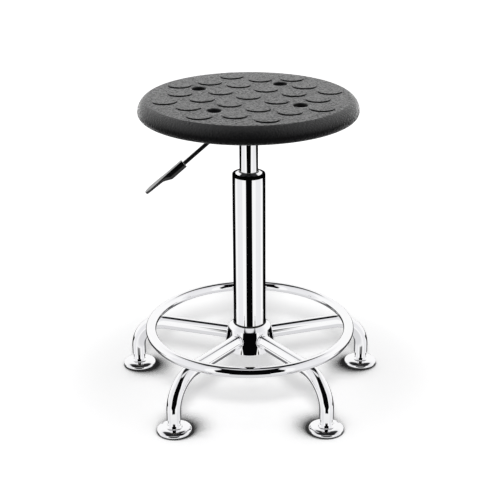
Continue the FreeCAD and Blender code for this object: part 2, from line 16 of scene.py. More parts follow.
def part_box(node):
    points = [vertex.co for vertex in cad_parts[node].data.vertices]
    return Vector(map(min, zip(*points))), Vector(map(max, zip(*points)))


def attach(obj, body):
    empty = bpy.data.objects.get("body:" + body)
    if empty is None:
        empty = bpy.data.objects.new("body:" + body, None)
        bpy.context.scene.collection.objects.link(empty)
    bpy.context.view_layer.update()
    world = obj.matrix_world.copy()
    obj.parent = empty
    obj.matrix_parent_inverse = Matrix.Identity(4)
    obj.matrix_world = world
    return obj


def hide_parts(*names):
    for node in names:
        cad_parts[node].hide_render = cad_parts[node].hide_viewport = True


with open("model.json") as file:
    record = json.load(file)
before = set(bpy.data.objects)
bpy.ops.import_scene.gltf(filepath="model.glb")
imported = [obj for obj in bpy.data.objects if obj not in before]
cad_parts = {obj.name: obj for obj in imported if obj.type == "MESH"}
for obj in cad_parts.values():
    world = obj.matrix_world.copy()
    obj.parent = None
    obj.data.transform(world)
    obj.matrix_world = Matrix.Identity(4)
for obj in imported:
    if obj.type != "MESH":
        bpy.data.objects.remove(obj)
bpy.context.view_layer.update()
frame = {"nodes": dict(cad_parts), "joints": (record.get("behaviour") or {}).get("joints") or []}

MM = 0.001
scene = bpy.context.scene
nodes = frame["nodes"]

# %% [markdown]
# ## Two small tools
# Colours are written as sRGB hex, as a paint chart gives them, and turned to linear light once.
# One function adds any node: its settings, then its inputs as plain values or as links.
# Nodes could be added line by line, but this way each node reads as one sentence.

# %% Colour and node helpers
def linear(code):
    """An sRGB hex colour as linear red, green, blue and alpha."""
    channels = [int(code[start:start + 2], 16) / 255 for start in (1, 3, 5)]
    bent = [c / 12.92 if c <= 0.04045 else ((c + 0.055) / 1.055) ** 2.4 for c in channels]
    return (*bent, 1.0)


def add(tree, kind, settings={}, inputs={}):
    """Add a node to a tree; an input is a value, or another node's output to link."""
    node = tree.nodes.new(kind)
    for name, value in settings.items():
        setattr(node, name, value)
    for name, value in inputs.items():
        if isinstance(value, bpy.types.NodeSocket):
            tree.links.new(value, node.inputs[name])
        else:
            node.inputs[name].default_value = value
    return node


print("mid grey in linear light:", round(linear("#808080")[0], 3))

# %% [markdown]
# ## The camera
# The photograph was taken from a little above the seat, through a long lens.
# A camera could be placed by eye. This one was worked out from the rims, the ring and the feet, because then
# every piece that has the right size also falls in the right place. The lens has no shift.

# %% Camera
camera_place = Vector((0.0011, -1.6568, 0.9085))
camera_pitch = 67.63
camera_roll = -0.34
camera_lens = 83.9
sensor_width = 36.0

camera_data = bpy.data.cameras.new("camera")
camera_data.lens = camera_lens
camera_data.sensor_width = sensor_width
camera = bpy.data.objects.new("camera", camera_data)
scene.collection.objects.link(camera)
camera.matrix_world = (Matrix.Translation(camera_place)
                       @ Matrix.Rotation(math.radians(camera_pitch), 4, "X")
                       @ Matrix.Rotation(math.radians(camera_roll), 4, "Z"))
scene.camera = camera
scene.view_settings.view_transform = "Standard"
print("camera distance in mm:", round(camera_place.length / MM))

# %% [markdown]
# ## The studio that the chrome mirrors
# Polished chrome has hardly any look of its own: it shows the room. A studio could be built of lit panels,
# but each panel would also light the seat and the floor. A world that is painted by direction is easier to
# steer: x runs to the right, y away from the camera, z up, and each runs from -1 to 1.
# White walls make the chrome white. The dark side of the room behind the camera draws the black stripes,
# flags low at the back draw the dark edges, and a dark patch overhead draws the line along the top of the
# ring.

# %% Directions in the studio
def window(tree, *limits):
    """A mask of 1 where every value is past its limits; each limit is (value, where 0, where 1)."""
    mask = 1.0
    for value, none, full in limits:
        mask = add(tree, "ShaderNodeMapRange", {"interpolation_type": "SMOOTHSTEP"},
                   {"Value": value, "From Min": none, "From Max": full, "To Max": mask}).outputs[0]
    return mask


world = bpy.data.worlds.new("studio")
scene.world = world
world.use_nodes = True
sky = world.node_tree
sky.nodes.clear()
direction = add(sky, "ShaderNodeTexCoord").outputs["Generated"]
axes = add(sky, "ShaderNodeSeparateXYZ", {}, {0: direction}).outputs
across, away, up = axes["X"], axes["Y"], axes["Z"]
level = add(sky, "ShaderNodeCombineXYZ", {}, {"X": across, "Y": away})
heading = add(sky, "ShaderNodeVectorMath", {"operation": "NORMALIZE"}, {0: level.outputs[0]})
backward = add(sky, "ShaderNodeSeparateXYZ", {}, {0: heading.outputs[0]}).outputs["Y"]
aside = add(sky, "ShaderNodeMath", {"operation": "ABSOLUTE"}, {0: across}).outputs[0]
print("nodes for directions:", len(sky.nodes))

# %% The dark side of the room
# It is widest at eye level and narrows towards the floor and the ceiling.
width_near_floor = 0.34
width_at_eye = 0.58
width_near_ceiling = 0.32
lower_width = add(sky, "ShaderNodeMapRange", {},
                  {"Value": up, "From Min": -0.33, "From Max": -0.20,
                   "To Min": width_near_floor, "To Max": width_at_eye})
dark_width = add(sky, "ShaderNodeMapRange", {},
                 {"Value": up, "From Min": 0.35, "From Max": 0.95,
                  "To Min": lower_width.outputs[0], "To Max": width_near_ceiling})
past_edge = add(sky, "ShaderNodeMath", {"operation": "DIVIDE"}, {0: aside, 1: dark_width.outputs[0]})
dark_side = window(sky, (past_edge.outputs[0], 1.03, 0.97), (away, 0.40, 0.30),
                   (up, -0.49, -0.45), (up, 0.97, 0.94))
print("dark side, half width at eye level:", width_at_eye)

# %% Flags at the back and a patch overhead
# The flags reach further round at their top. The upper ones are black, for the edges of the column, and the
# lower ones grey, for the legs and the feet. The patch overhead also darkens the front of the column's dome.
edge_low_down = 0.34
edge_at_top = 0.12
flag_edge = add(sky, "ShaderNodeMapRange", {},
                {"Value": up, "From Min": -0.33, "From Max": -0.28,
                 "To Min": edge_low_down, "To Max": edge_at_top})
past_flag = add(sky, "ShaderNodeMath", {"operation": "SUBTRACT"}, {0: backward, 1: flag_edge.outputs[0]})
flags = window(sky, (past_flag.outputs[0], 0.0, 0.06), (up, -0.20, -0.26), (up, -0.80, -0.70))
high_flags = window(sky, (up, -0.46, -0.44), (flags, 0.0, 1.0))
overhead = window(sky, (up, 0.70, 0.76), (away, 0.0, 0.06), (aside, 0.45, 0.38))
print("nodes with flags:", len(sky.nodes))

# %% Walls, floor and ceiling of the studio
# The tones are laid over a white room in this order, so a later one covers an earlier one.
grey_screen = window(sky, (backward, -0.70, -0.66), (backward, 0.10, -0.12))
floor_below = window(sky, (up, -0.40, -0.65))
ceiling = window(sky, (up, 0.55, 0.85))
room_tones = ((grey_screen, "#EFEFF1"), (floor_below, "#DCDCDE"), (ceiling, "#E6E6E8"),
              (overhead, "#2E2E30"), (dark_side, "#050506"), (flags, "#6E6E70"), (high_flags, "#050506"))
room = linear("#FFFFFF")
for mask, tone in room_tones:
    room = add(sky, "ShaderNodeMix", {"data_type": "RGBA"}, {0: mask, 6: room, 7: linear(tone)}).outputs[2]
print("tones in the room:", len(room_tones))

# %% What each kind of ray sees
# The camera sees plain white, mirrors see the room, and soft bounced light is weaker than the mirrors' light.
mirror_strength = 1.0
bounce_strength = 0.55
path = add(sky, "ShaderNodeLightPath").outputs
shown = add(sky, "ShaderNodeMix", {"data_type": "RGBA"},
            {0: path["Is Camera Ray"], 6: room, 7: linear("#FFFFFF")})
strength = add(sky, "ShaderNodeMapRange", {},
               {"Value": path["Is Diffuse Ray"], "To Min": mirror_strength, "To Max": bounce_strength})
glow = add(sky, "ShaderNodeBackground", {}, {"Color": shown.outputs[2], "Strength": strength.outputs[0]})
add(sky, "ShaderNodeOutputWorld", {}, {"Surface": glow.outputs[0]})
print("studio nodes:", len(sky.nodes))

# %% [markdown]
# ## Floor and lamp
# The stool stands on white paper that fades into the background and keeps a soft shade at each foot.
# A white plane under a lamp would turn grey, with shadows that are hard to place. So the shade is measured by
# ambient occlusion: it looks outwards from the middle, which puts it on the inner side of each foot.
# A little light that only the camera sees lifts the paper to white, more so away from the stool.
# Mirrors look past the paper to the studio.

# %% Floor
floor_reach = 8.0
floor_drop = 0.2 * MM
floor_mesh = bpy.data.meshes.new("floor")
floor_corners = [(-floor_reach, -floor_reach, -floor_drop), (floor_reach, -floor_reach, -floor_drop),
                 (floor_reach, floor_reach, -floor_drop), (-floor_reach, floor_reach, -floor_drop)]
floor_mesh.from_pydata(floor_corners, [], [(0, 1, 2, 3)])
floor = bpy.data.objects.new("floor", floor_mesh)
scene.collection.objects.link(floor)
floor.visible_glossy = False
paper = bpy.data.materials.new("white_paper_sweep")
paper.use_nodes = True
print("floor width in m:", 2 * floor_reach)

# %% Shade on the paper
shade_reach = 64 * MM
shade_lean = 4.2
tree = paper.node_tree
shader = tree.nodes["Principled BSDF"]
shader.inputs["Roughness"].default_value = 0.9
shader.inputs["Specular IOR Level"].default_value = 0.0
place = add(tree, "ShaderNodeTexCoord").outputs["Object"]
leaning = add(tree, "ShaderNodeVectorMath", {"operation": "MULTIPLY_ADD"},
              {0: place, 1: (shade_lean, shade_lean, 0.0), 2: (0.0, 0.0, 1.0)})
near = add(tree, "ShaderNodeAmbientOcclusion", {"samples": 16},
           {"Distance": shade_reach, "Normal": leaning.outputs[0]}).outputs["AO"]
open_floor = window(tree, (near, 0.74, 0.99))
tone = add(tree, "ShaderNodeMix", {"data_type": "RGBA"},
           {0: open_floor, 6: linear("#383838"), 7: linear("#E8E8E8")})
tree.links.new(tone.outputs[2], shader.inputs["Base Color"])
print("shade reaches in mm:", round(shade_reach / MM))

# %% Lift to white
lift_near = 0.36
lift_far = 0.80
reach = add(tree, "ShaderNodeVectorMath", {"operation": "LENGTH"}, {0: place}).outputs["Value"]
far = add(tree, "ShaderNodeMapRange", {"interpolation_type": "SMOOTHSTEP"},
          {"Value": reach, "From Min": 0.20, "From Max": 0.55, "To Min": lift_near, "To Max": lift_far})
lift = add(tree, "ShaderNodeMath", {"operation": "MULTIPLY"}, {0: far.outputs[0], 1: open_floor})
seen = add(tree, "ShaderNodeMath", {"operation": "MULTIPLY"},
           {0: lift.outputs[0], 1: add(tree, "ShaderNodeLightPath").outputs["Is Camera Ray"]})
glow = add(tree, "ShaderNodeEmission", {}, {"Color": linear("#FFFFFF"), "Strength": seen.outputs[0]})
both = add(tree, "ShaderNodeAddShader", {}, {0: shader.outputs[0], 1: glow.outputs[0]})
tree.links.new(both.outputs[0], tree.nodes["Material Output"].inputs["Surface"])
floor_mesh.materials.append(paper)
print("paper nodes:", len(tree.nodes))

# %% Lamp
# One square soft box above the camera points at the middle of the stool. Mirrors don't see it.
lamp_place = Vector((0.0, -2.0, 1.8))
lamp_target = Vector((0.0, 0.0, 0.25))
lamp_data = bpy.data.lights.new("lamp_front", "AREA")
lamp_data.size = 0.6
lamp_data.energy = 45
lamp = bpy.data.objects.new("lamp_front", lamp_data)
scene.collection.objects.link(lamp)
lamp_turn = (lamp_target - lamp_place).to_track_quat("-Z", "Y")
lamp.matrix_world = Matrix.Translation(lamp_place) @ lamp_turn.to_matrix().to_4x4()
lamp.visible_glossy = False
print("lamp watts:", lamp_data.energy)

# %% [markdown]
# ## Finishes
# Each finish starts from the real material and from how its surface was made.
# Pictures could be wrapped round the pieces, but a grain of noise needs no unwrapping and has a true size.
# Most finishes differ only in colour, shine and the size of their grain, so one function makes those.

# %% A grained finish
def grained(name, dark, light, size, smooth, dull, metallic=0.0, relief=0.0, gloss=0.5):
    """A finish whose colour, shine and relief drift over grains of a given size in millimetres."""
    material = bpy.data.materials.new(name)
    material.use_nodes = True
    tree = material.node_tree
    shader = tree.nodes["Principled BSDF"]
    shader.inputs["Metallic"].default_value = metallic
    shader.inputs["Specular IOR Level"].default_value = gloss
    place = add(tree, "ShaderNodeTexCoord").outputs["Object"]
    noise = add(tree, "ShaderNodeTexNoise", {}, {"Vector": place, "Scale": 1 / (size * MM), "Detail": 3.0})
    grain = noise.outputs[0]
    tint = add(tree, "ShaderNodeMix", {"data_type": "RGBA"}, {0: grain, 6: linear(dark), 7: linear(light)})
    shine = add(tree, "ShaderNodeMapRange", {},
                {"Value": grain, "From Min": 0.3, "From Max": 0.7, "To Min": smooth, "To Max": dull})
    bump = add(tree, "ShaderNodeBump", {}, {"Height": grain, "Distance": relief * MM, "Strength": 1.0})
    tree.links.new(tint.outputs[2], shader.inputs["Base Color"])
    tree.links.new(shine.outputs[0], shader.inputs["Roughness"])
    tree.links.new(bump.outputs[0], shader.inputs["Normal"])
    return material


# %% Chrome plate
# Bright chrome over polished nickel: a mirror, with faint smears where hands and cloths have been.
chrome = grained("chrome_plate_polished", "#F7F7F8", "#FCFCFD", size=35.0, smooth=0.01, dull=0.03,
                 metallic=1.0)
print("made:", chrome.name)

# %% Black pieces
# Powder coat is an even satin with a fine orange peel; the grip is shinier, moulded in one with its boss.
# The collar on the column is matt, so that it stays black. The rubber is dull, and the board under the seat
# is stained.
powder = grained("powder_coat_black", "#060606", "#0B0B0C", size=1.8, smooth=0.34, dull=0.46,
                 relief=0.05, gloss=0.2)
plastic = grained("plastic_black_moulded", "#060607", "#0C0C0D", size=0.8, smooth=0.10, dull=0.16,
                  relief=0.02)
matte_plastic = grained("plastic_black_matte", "#060606", "#0B0B0C", size=1.0, smooth=0.7, dull=0.8,
                        gloss=0.0)
rubber = grained("rubber_moulded", "#111111", "#181818", size=2.5, smooth=0.65, dull=0.85, relief=0.05)
plywood = grained("plywood_stained_black", "#0B0A0A", "#161413", size=6.0, smooth=0.5, dull=0.7,
                  relief=0.08)
print("made:", [finish.name for finish in (powder, plastic, matte_plastic, rubber, plywood)])

# %% Hardware and hidden pieces
# Zinc is faintly cloudy, drawn steel is brighter, and turned metals keep a fine trace of the tool.
zinc = grained("zinc_plate", "#9C9C94", "#C2C1B8", size=3.0, smooth=0.25, dull=0.42, metallic=1.0)
steel = grained("bright_drawn_steel", "#A6A7A8", "#CDCECF", size=2.0, smooth=0.12, dull=0.22, metallic=1.0)
alloy = grained("turned_aluminium", "#B5B7B9", "#D6D8DA", size=1.5, smooth=0.2, dull=0.32, metallic=1.0)
brass = grained("turned_brass", "#A98A4A", "#CFB06C", size=1.5, smooth=0.18, dull=0.3, metallic=1.0)
nylon = grained("nylon_natural", "#DEDAD0", "#E8E5DC", size=4.0, smooth=0.38, dull=0.52)
print("made:", [finish.name for finish in (zinc, steel, alloy, brass, nylon)])

# %% [markdown]
# ## Moulded foam skin
# The seat's polyurethane skin is black and dull, pebbled all over like leather. Seen flat along the top, the
# pebbles catch the white room and look grey; seen square on, at the rim, they hardly shine at all.
# The grained finish above can't do both, so this skin has its own tree: fine relief, a speckled sheen, and a
# gloss that follows how far the surface faces up: painted shade, darker towards the foot of the rim.
# Real pebbles are about half a millimetre wide, too fine to show, so they are drawn several times as coarse.

# %% Pebbles and pores
pebble_size = 2.6
skin_relief = 0.5
foam = bpy.data.materials.new("polyurethane_skin_black")
foam.use_nodes = True
tree = foam.node_tree
shader = tree.nodes["Principled BSDF"]
shader.inputs["Roughness"].default_value = 0.42
shader.inputs["Sheen Roughness"].default_value = 0.3
place = add(tree, "ShaderNodeTexCoord").outputs["Object"]
pebble_scale = 1 / (pebble_size * MM)
pebbles = add(tree, "ShaderNodeTexVoronoi", {}, {"Vector": place, "Scale": pebble_scale})
noise = add(tree, "ShaderNodeTexNoise", {}, {"Vector": place, "Scale": pebble_scale, "Detail": 2.0})
pores = noise.outputs[0]
skin = add(tree, "ShaderNodeMath", {"operation": "SUBTRACT"}, {0: pores, 1: pebbles.outputs["Distance"]})
relief = add(tree, "ShaderNodeBump", {},
             {"Height": skin.outputs[0], "Distance": skin_relief * MM, "Strength": 1.0})
tint = add(tree, "ShaderNodeMix", {"data_type": "RGBA"},
           {0: pores, 6: linear("#050505"), 7: linear("#121213")})
speckle = add(tree, "ShaderNodeMapRange", {},
              {"Value": pores, "From Min": 0.43, "From Max": 0.56, "To Min": 0.25, "To Max": 1.0})
tree.links.new(speckle.outputs[0], shader.inputs["Sheen Weight"])
tree.links.new(relief.outputs[0], shader.inputs["Normal"])
tree.links.new(tint.outputs[2], shader.inputs["Base Color"])
print("pebbles in mm:", pebble_size, "relief in mm:", skin_relief)

# %% Gloss of the skin, with painted shade down the rim
# The gloss follows how far the surface faces up, which paints shade that darkens the rim towards its foot.
# On the flat top it also comes in glints.
glint_size = 4.6
facing = add(tree, "ShaderNodeSeparateXYZ", {}, {0: add(tree, "ShaderNodeNewGeometry").outputs["Normal"]})
painted_rim_shade = add(tree, "ShaderNodeMapRange", {},
                {"Value": facing.outputs["Z"], "From Min": 0.12, "From Max": 0.90,
                 "To Min": 0.03, "To Max": 0.85})
grains = add(tree, "ShaderNodeTexNoise", {},
             {"Vector": place, "Scale": 1 / (glint_size * MM), "Detail": 3.0})
glints = add(tree, "ShaderNodeMapRange", {},
             {"Value": grains.outputs[0], "From Min": 0.40, "From Max": 0.60, "To Min": 0.10, "To Max": 1.80})
# Painted shade on the rim: the less the skin faces up, the less it shines; glints only on the flat top.
glints_and_painted_rim_shade = add(tree, "ShaderNodeMapRange", {},
                 {"Value": facing.outputs["Z"], "From Min": 0.93, "From Max": 0.99,
                  "To Min": painted_rim_shade.outputs[0], "To Max": glints.outputs[0]})
tree.links.new(glints_and_painted_rim_shade.outputs[0], shader.inputs["Specular IOR Level"])
print("finishes:", len(bpy.data.materials))

# %% Finishes on the solids
slot_finish = {
    "chrome_plate": chrome, "seat_foam": foam, "plywood": plywood, "black_steel": powder,
    "zinc_steel": zinc, "bright_steel": steel, "black_plastic": plastic, "white_nylon": nylon,
    "black_rubber": rubber, "aluminium": alloy, "brass": brass,
}
for solid in nodes.values():
    solid.data.materials[0] = slot_finish[solid.data.materials[0].name]
print("solids dressed:", len(nodes))

# %% [markdown]
# ## Shapes that are turned
# Most pieces of a stool come off a lathe or a tube mill, so they are half sections spun about an axis.
# Cylinders with bevels could stand in for them, but a section shows each step and rounding of the real piece.
# A section that starts on the axis closes there; any other one closes on itself, like a tube wall.

# %% Pieces from half sections
sharp_angle = math.radians(32)


def as_piece(name, shape, material):
    """A bmesh as an object at the origin, smooth except over sharp edges."""
    bmesh.ops.recalc_face_normals(shape, faces=shape.faces)
    mesh = bpy.data.meshes.new(name)
    shape.to_mesh(mesh)
    shape.free()
    mesh.shade_smooth()
    mesh.set_sharp_from_angle(angle=sharp_angle)
    mesh.materials.append(material)
    piece = bpy.data.objects.new(name, mesh)
    scene.collection.objects.link(piece)
    return piece


def spun(section, count, place=(0.0, 0.0)):
    """A half section of (radius, height) points, spun about an upright axis, as a bmesh."""
    shape = bmesh.new()
    turns = [2 * math.pi * index / count for index in range(count)]
    rings = []
    for radius, height in section:
        if radius == 0:
            spots = [(*place, height)]
        else:
            spots = [(place[0] + radius * math.cos(turn), place[1] + radius * math.sin(turn), height)
                     for turn in turns]
        rings.append([shape.verts.new(spot) for spot in spots])
    loops = list(zip(rings, rings[1:]))
    if section[0][0] != 0:
        loops.append((rings[-1], rings[0]))
    for low, high in loops:
        for index in range(count):
            after = (index + 1) % count
            corners = [low[index % len(low)], low[after % len(low)],
                       high[after % len(high)], high[index % len(high)]]
            shape.faces.new(list(dict.fromkeys(corners)))
    return shape


# %% Round stretches of a section
def arc_points(x, z, size, start, end, steps):
    """Points on an arc about (x, z), angles in degrees."""
    angles = [math.radians(start + (end - start) * index / steps) for index in range(steps + 1)]
    return [(x + size * math.cos(angle), z + size * math.sin(angle)) for angle in angles]


def eased(before, corner, after, size, steps=5):
    """Points that round off a corner between its two neighbours."""
    corner = Vector(corner)
    start = corner + (Vector(before) - corner).normalized() * size
    end = corner + (Vector(after) - corner).normalized() * size
    shares = [index / steps for index in range(steps + 1)]
    return [tuple(start * (1 - t) ** 2 + corner * 2 * t * (1 - t) + end * t ** 2) for t in shares]


# %% Finished pieces
def baked(piece):
    """The piece's mesh with its modifiers applied, and the modifiers removed."""
    graph = bpy.context.evaluated_depsgraph_get()
    mesh = bpy.data.meshes.new_from_object(piece.evaluated_get(graph))
    piece.modifiers.clear()
    piece.data = mesh
    return piece


def chrome_piece(piece, body, *replaced):
    """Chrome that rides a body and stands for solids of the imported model."""
    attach(piece, body)
    if replaced:
        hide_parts(*replaced)
    print(piece.name, "faces:", len(piece.data.polygons))


# %% [markdown]
# ## Column and gas cylinder
# The column is a drawn tube: its top is drawn in to a low dome, and its foot tapers into the hub.
# A black collar, moulded in one with the guide bush, covers the shoulder of the dome.
# The gas cylinder is ground and plated, and its head tapers so that it jams in the seat's socket.
# The solids have these shapes too, but mirrors show every facet, so they are spun again with many sides.

# %% Sizes of the column
column_low, column_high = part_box("column_tube")
hub_low, hub_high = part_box("base_hub")
cylinder_low, cylinder_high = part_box("gas_cylinder")
socket_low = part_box("taper_socket")[0]
column_radius = (column_high.x - column_low.x) / 2
cylinder_radius = (cylinder_high.x - cylinder_low.x) / 2
column_wall = 1.8 * MM
column_taper = 1.6 * MM
column_dome = 2.5 * MM
collar_height = 4.0 * MM
collar_width = 5.0 * MM
bush_neck = 1.25 * MM
shoulder_top = column_high.z - column_dome
shoulder_low = shoulder_top - collar_height
column_bore = column_radius - column_wall
dome_radius = column_radius - collar_width
hole_radius = cylinder_radius + bush_neck
print("column diameter in mm:", round(2 * column_radius / MM, 1))

# %% Column
# The second point sits just below the hub's top: it keeps the mirror straight down to where the hub starts.
straight_below_hub = 1.0 * MM
dome_mouth = 0.6 * MM
section = [(column_radius - column_taper, column_low.z), (column_radius, hub_high.z - straight_below_hub)]
section += [(column_radius, hub_high.z), (column_radius, shoulder_low)]
section += [(dome_radius, shoulder_low), (dome_radius, shoulder_top)]
section += eased(section[-1], (hole_radius, column_high.z), (hole_radius, shoulder_top), dome_mouth)
section += [(hole_radius, column_high.z - column_wall)]
section += [(dome_radius - column_wall, shoulder_top - column_wall)]
section += [(column_bore - column_wall, shoulder_low - column_wall)]
section += [(column_bore, shoulder_low - 2 * column_wall)]
section += [(column_bore, hub_high.z), (column_bore - column_taper, column_low.z)]
column = as_piece("column", spun(section, 160), chrome)
chrome_piece(column, "base", "column_tube")

# %% Collar
collar_outer_edge = 1.8 * MM
collar_inner_edge = 0.5 * MM
outer_low, outer_high = (column_radius, shoulder_low), (column_radius, shoulder_top)
inner_high, inner_low = (dome_radius, shoulder_top), (dome_radius, shoulder_low)
section = [outer_low]
section += eased(outer_low, outer_high, inner_high, collar_outer_edge)
section += eased(outer_high, inner_high, inner_low, collar_inner_edge)
section += [inner_low]
collar = as_piece("column_collar", spun(section, 128), matte_plastic)
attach(collar, "base")
print("collar width in mm:", round(collar_width / MM, 1))

# %% Gas cylinder
cylinder_wall = 1.5 * MM
head_taper = 0.6 * MM
cylinder_bore = cylinder_radius - cylinder_wall
head_radius = cylinder_radius - head_taper
section = [(cylinder_bore, cylinder_low.z), (cylinder_radius, cylinder_low.z)]
section += [(cylinder_radius, socket_low.z), (head_radius, cylinder_high.z)]
section += [(cylinder_bore, cylinder_high.z)]
gas_tube = as_piece("gas_tube", spun(section, 128), chrome)
chrome_piece(gas_tube, "seat", "gas_cylinder")

# %% [markdown]
# ## Hub
# A turned sleeve that flares towards the floor, with a sloping shoulder up to the column.
# It is spun like the column. A bevelled cone would do from afar, but its shoulder catches the white room, so
# each corner has its own rounding. A black rubber ring on top draws the dark line where the column meets the
# hub: painted shade at the joint.

# %% Hub
hub_wall = 8.0 * MM
hub_shoulder = 5.5 * MM
hub_lip = 0.8 * MM
hub_edge = 1.5 * MM
hub_shoulder_edge = 1.2 * MM
hub_gap = 0.05 * MM
hub_bore = column_radius + hub_gap
hub_top_radius = column_radius + hub_wall
hub_foot_radius = (hub_high.x - hub_low.x) / 2
lip_corner = (hub_bore + hub_lip, hub_high.z)
shoulder_corner = (hub_top_radius, hub_high.z - hub_shoulder)
foot_corner = (hub_foot_radius, hub_low.z + hub_edge / 2)
foot_bore = (hub_bore - column_taper, hub_low.z)
section = [foot_bore, (hub_foot_radius - hub_edge, hub_low.z)]
section += eased(section[-1], foot_corner, shoulder_corner, hub_edge / 2)
section += eased(foot_corner, shoulder_corner, lip_corner, hub_shoulder_edge)
section += eased(shoulder_corner, lip_corner, (hub_bore, hub_high.z), hub_lip / 2)
section += [(hub_bore, hub_high.z)]
hub = as_piece("hub", spun(section, 160), chrome)
chrome_piece(hub, "base", "base_hub")

# %% Black ring of painted shade between hub and column
joint_shade_height = 2.4 * MM
joint_shade_edge = 0.3 * MM
joint_shade_radius = hub_bore + hub_lip
joint_shade_top = hub_high.z + joint_shade_height
section = [(hub_bore, hub_high.z), (joint_shade_radius, hub_high.z)]
section += eased(section[-1], (joint_shade_radius, joint_shade_top), (hub_bore, joint_shade_top), joint_shade_edge)
section += [(hub_bore, joint_shade_top)]
# A black ring that paints the shade where the column meets the hub.
joint_shade_ring = as_piece("column_joint_shade_ring", spun(section, 128), rubber)
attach(joint_shade_ring, "base")
print("seal height in mm:", round(joint_shade_height / MM, 1))

# %% [markdown]
# ## Foot ring
# A tube rolled to a circle and welded shut. Blender has a torus of its own, but a circle spun like the other
# sections needs no new tool, and enough sides give a clean mirror.

# %% Foot ring
ring_low, ring_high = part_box("foot_ring")
ring_tube = (ring_high.z - ring_low.z) / 2
ring_radius = (ring_high.x - ring_low.x) / 2 - ring_tube
ring_height = (ring_high.z + ring_low.z) / 2
ring_section = arc_points(ring_radius, ring_height, ring_tube, 0, 360, 40)[:-1]
foot_ring = as_piece("foot_rest_ring", spun(ring_section, 288), chrome)
chrome_piece(foot_ring, "base", "foot_ring")

# %% [markdown]
# ## Legs
# Five equal tubes run out from the hub and bend down to the feet. They could be swept one by one, but they
# follow a rule: each is a corner of two straight lines, rounded to the bend radius, with a circle drawn along
# it. Geometry Nodes make one and turn it five times, so a change of the bend reaches all five.

# %% Trees with named sizes
def sized_tree(name, sizes):
    """A geometry tree with a named input for each size, those inputs, and their sockets' identifiers."""
    tree = bpy.data.node_groups.new(name, "GeometryNodeTree")
    identifiers = {}
    for size in sizes:
        socket = tree.interface.new_socket(size, in_out="INPUT", socket_type="NodeSocketFloat")
        identifiers[size] = socket.identifier
    tree.interface.new_socket("Geometry", in_out="OUTPUT", socket_type="NodeSocketGeometry")
    return tree, add(tree, "NodeGroupInput").outputs, identifiers


def grown(name, tree, sizes, identifiers):
    """An object that grows from a tree, with every size set before it is first evaluated."""
    piece = bpy.data.objects.new(name, bpy.data.meshes.new(name))
    scene.collection.objects.link(piece)
    pattern = piece.modifiers.new("pattern", "NODES")
    pattern.node_group = tree
    for size, value in sizes.items():
        pattern[identifiers[size]] = value
    return piece


# %% Sizes of the legs
leg_count = 5
leg_turn = 360 / leg_count
first_leg = 90.0
leg_low, leg_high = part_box("leg_1")
leg_radius = (leg_high.x - leg_low.x) / 2
leg_wall = 1.5 * MM
spoke_height = leg_high.z - leg_radius
foot_circle = leg_high.y - leg_radius
bend_radius = 50.0 * MM
leg_sizes = {"Tube radius": leg_radius, "Hub reach": column_radius + hub_wall / 2,
             "Foot circle": foot_circle, "Spoke height": spoke_height, "Leg end": leg_low.z,
             "Bend radius": bend_radius}
print("leg diameter in mm:", round(2 * leg_radius / MM, 1))

# %% Bent line of a leg
leg_tree, given, leg_sockets = sized_tree("bent_legs", leg_sizes)
start = add(leg_tree, "ShaderNodeCombineXYZ", {}, {"X": given["Hub reach"], "Z": given["Spoke height"]})
corner = add(leg_tree, "ShaderNodeCombineXYZ", {}, {"X": given["Foot circle"], "Z": given["Spoke height"]})
end = add(leg_tree, "ShaderNodeCombineXYZ", {}, {"X": given["Foot circle"], "Z": given["Leg end"]})
straight = add(leg_tree, "GeometryNodeCurvePrimitiveLine", {},
               {"Start": start.outputs[0], "End": end.outputs[0]})
three = add(leg_tree, "GeometryNodeResampleCurve", {}, {"Curve": straight.outputs[0], "Count": 3})
index = add(leg_tree, "GeometryNodeInputIndex")
is_middle = add(leg_tree, "FunctionNodeCompare", {"data_type": "INT", "operation": "EQUAL"},
                {2: index.outputs[0], 3: 1})
bent = add(leg_tree, "GeometryNodeSetPosition", {},
           {"Geometry": three.outputs[0], "Selection": is_middle.outputs[0], "Position": corner.outputs[0]})
rounded = add(leg_tree, "GeometryNodeFilletCurve", {"mode": "POLY"},
              {"Curve": bent.outputs[0], "Count": 28, "Radius": given["Bend radius"]})
print("nodes for the line:", len(leg_tree.nodes))

# %% Five tubes along the line
ring = add(leg_tree, "GeometryNodeCurvePrimitiveCircle", {},
           {"Resolution": 48, "Radius": given["Tube radius"]})
leg = add(leg_tree, "GeometryNodeCurveToMesh", {},
          {"Curve": rounded.outputs[0], "Profile Curve": ring.outputs[0]})
five = add(leg_tree, "GeometryNodePoints", {}, {"Count": leg_count})
turn = add(leg_tree, "ShaderNodeMath", {"operation": "MULTIPLY_ADD"},
           {0: index.outputs[0], 1: math.radians(leg_turn), 2: math.radians(first_leg)})
facing = add(leg_tree, "ShaderNodeCombineXYZ", {}, {"Z": turn.outputs[0]})
legs_set = add(leg_tree, "GeometryNodeInstanceOnPoints", {},
               {"Points": five.outputs[0], "Instance": leg.outputs[0], "Rotation": facing.outputs[0]})
real = add(leg_tree, "GeometryNodeRealizeInstances", {}, {0: legs_set.outputs[0]})
plated = add(leg_tree, "GeometryNodeSetMaterial", {}, {"Geometry": real.outputs[0], "Material": chrome})
add(leg_tree, "NodeGroupOutput", {}, {0: plated.outputs[0]})
print("nodes for the legs:", len(leg_tree.nodes))

# %% Legs on the base
legs = grown("bent_legs", leg_tree, leg_sizes, leg_sockets)
wall = legs.modifiers.new("wall", "SOLIDIFY")
wall.thickness = leg_wall
wall.offset = -1.0
baked(legs)
legs.data.shade_smooth()
legs.data.set_sharp_from_angle(angle=sharp_angle)
chrome_piece(legs, "base", *[f"leg_{number}" for number in range(1, leg_count + 1)])

# %% [markdown]
# ## Welds
# Before plating, the spokes were welded to the hub and the ring to the legs. A bead runs round each joint,
# rippled where the welder paused, and the chrome over it breaks the mirror into small dark and bright spots.
# A bump in the finish would leave the outline straight, so each bead is a thin tube along its joint.

# %% A weld bead
bead_sides = 10
bead_ripple = 0.16


